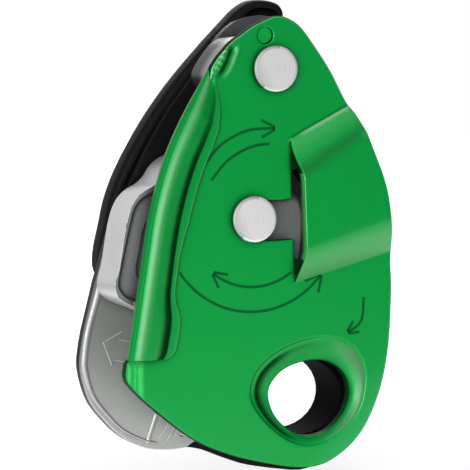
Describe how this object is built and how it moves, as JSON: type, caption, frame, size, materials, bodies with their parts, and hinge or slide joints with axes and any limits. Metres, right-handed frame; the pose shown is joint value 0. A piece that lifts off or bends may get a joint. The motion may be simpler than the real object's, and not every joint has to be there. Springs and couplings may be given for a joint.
{
  "type": "assisted braking belay device",
  "caption": "Rope brake with a sprung cam between two side plates, one of which swings open, and a release handle at the back.",
  "frame": {"origin": "centre of the attachment hole, midway between the two side plates", "axes": "+X to the right as seen from the opening side plate, +Y from that plate back to the handle, +Z from the attachment hole up to the pivot rivet's end"},
  "size_m": [0.0688, 0.0366, 0.1072],
  "materials": {
    "green_anodised": "satin green anodised sheet",
    "black_anodised": "satin black anodised",
    "stainless": "brushed",
    "bright_steel": "turned and ground bright",
    "black_nylon": "moulded, satin",
    "bronze": "sintered bearing bronze"
  },
  "bodies": {
    "frame": {"fixed_side_plate": "black_anodised", "eye_collar": "black_anodised", "friction_plate": "stainless", "wear_rivet_1": "stainless", "wear_rivet_2": "stainless", "wear_rivet_3": "stainless", "friction_block": "bright_steel", "block_dowel_1": "stainless", "block_dowel_2": "stainless", "pivot_rivet": "bright_steel", "pivot_washer": "stainless", "axle": "bright_steel", "axle_washer": "stainless", "handle_spacer": "bronze", "cam_spring": "stainless", "spring_anchor_pin": "stainless"},
    "moving_plate": {"moving_side_plate": "green_anodised", "pivot_bush": "bronze"},
    "cam": {"cam": "bright_steel", "cam_bush": "bronze", "drive_pin": "stainless"},
    "handle": {"handle": "black_nylon", "handle_bush": "bronze", "handle_spring": "stainless", "hub_cover": "black_nylon", "cover_screw_1": "stainless", "cover_screw_2": "stainless", "cover_screw_3": "stainless", "catch_pin": "stainless", "catch_spring": "stainless"},
    "catch": {"panic_catch": "stainless"},
    "selector": {"selector_shaft": "stainless", "selector_knob": "black_nylon", "detent_ball": "bright_steel", "detent_spring": "stainless"}
  },
  "joints": [
    {"name": "moving_plate_swing", "type": "hinge", "parent": "frame", "child": "moving_plate", "pos_m": [-0.00832, 0, 0.0731], "axis": [0, 1, 0], "range_deg": [0, 100]},
    {"name": "cam_turn", "type": "hinge", "parent": "frame", "child": "cam", "pos_m": [-0.01329, 0, 0.04], "axis": [0, 1, 0], "range_deg": [0, 28], "stiffness_Nm_per_rad": 0.08, "springref_deg": -40.11},
    {"name": "handle_turn", "type": "hinge", "parent": "frame", "child": "handle", "pos_m": [-0.01329, 0, 0.04], "axis": [0, 1, 0], "range_deg": [-150, 0], "stiffness_Nm_per_rad": 0.02, "springref_deg": 28.65},
    {"name": "catch_tip", "type": "hinge", "parent": "handle", "child": "catch", "pos_m": [-0.03148, 0, 0.04201], "axis": [0, 1, 0], "range_deg": [0, 12], "stiffness_Nm_per_rad": 0.001, "springref_deg": -17.19},
    {"name": "selector_turn", "type": "hinge", "parent": "frame", "child": "selector", "pos_m": [0.00548, 0, 0.056], "axis": [0, 1, 0], "range_deg": [0, 60]}
  ]
}
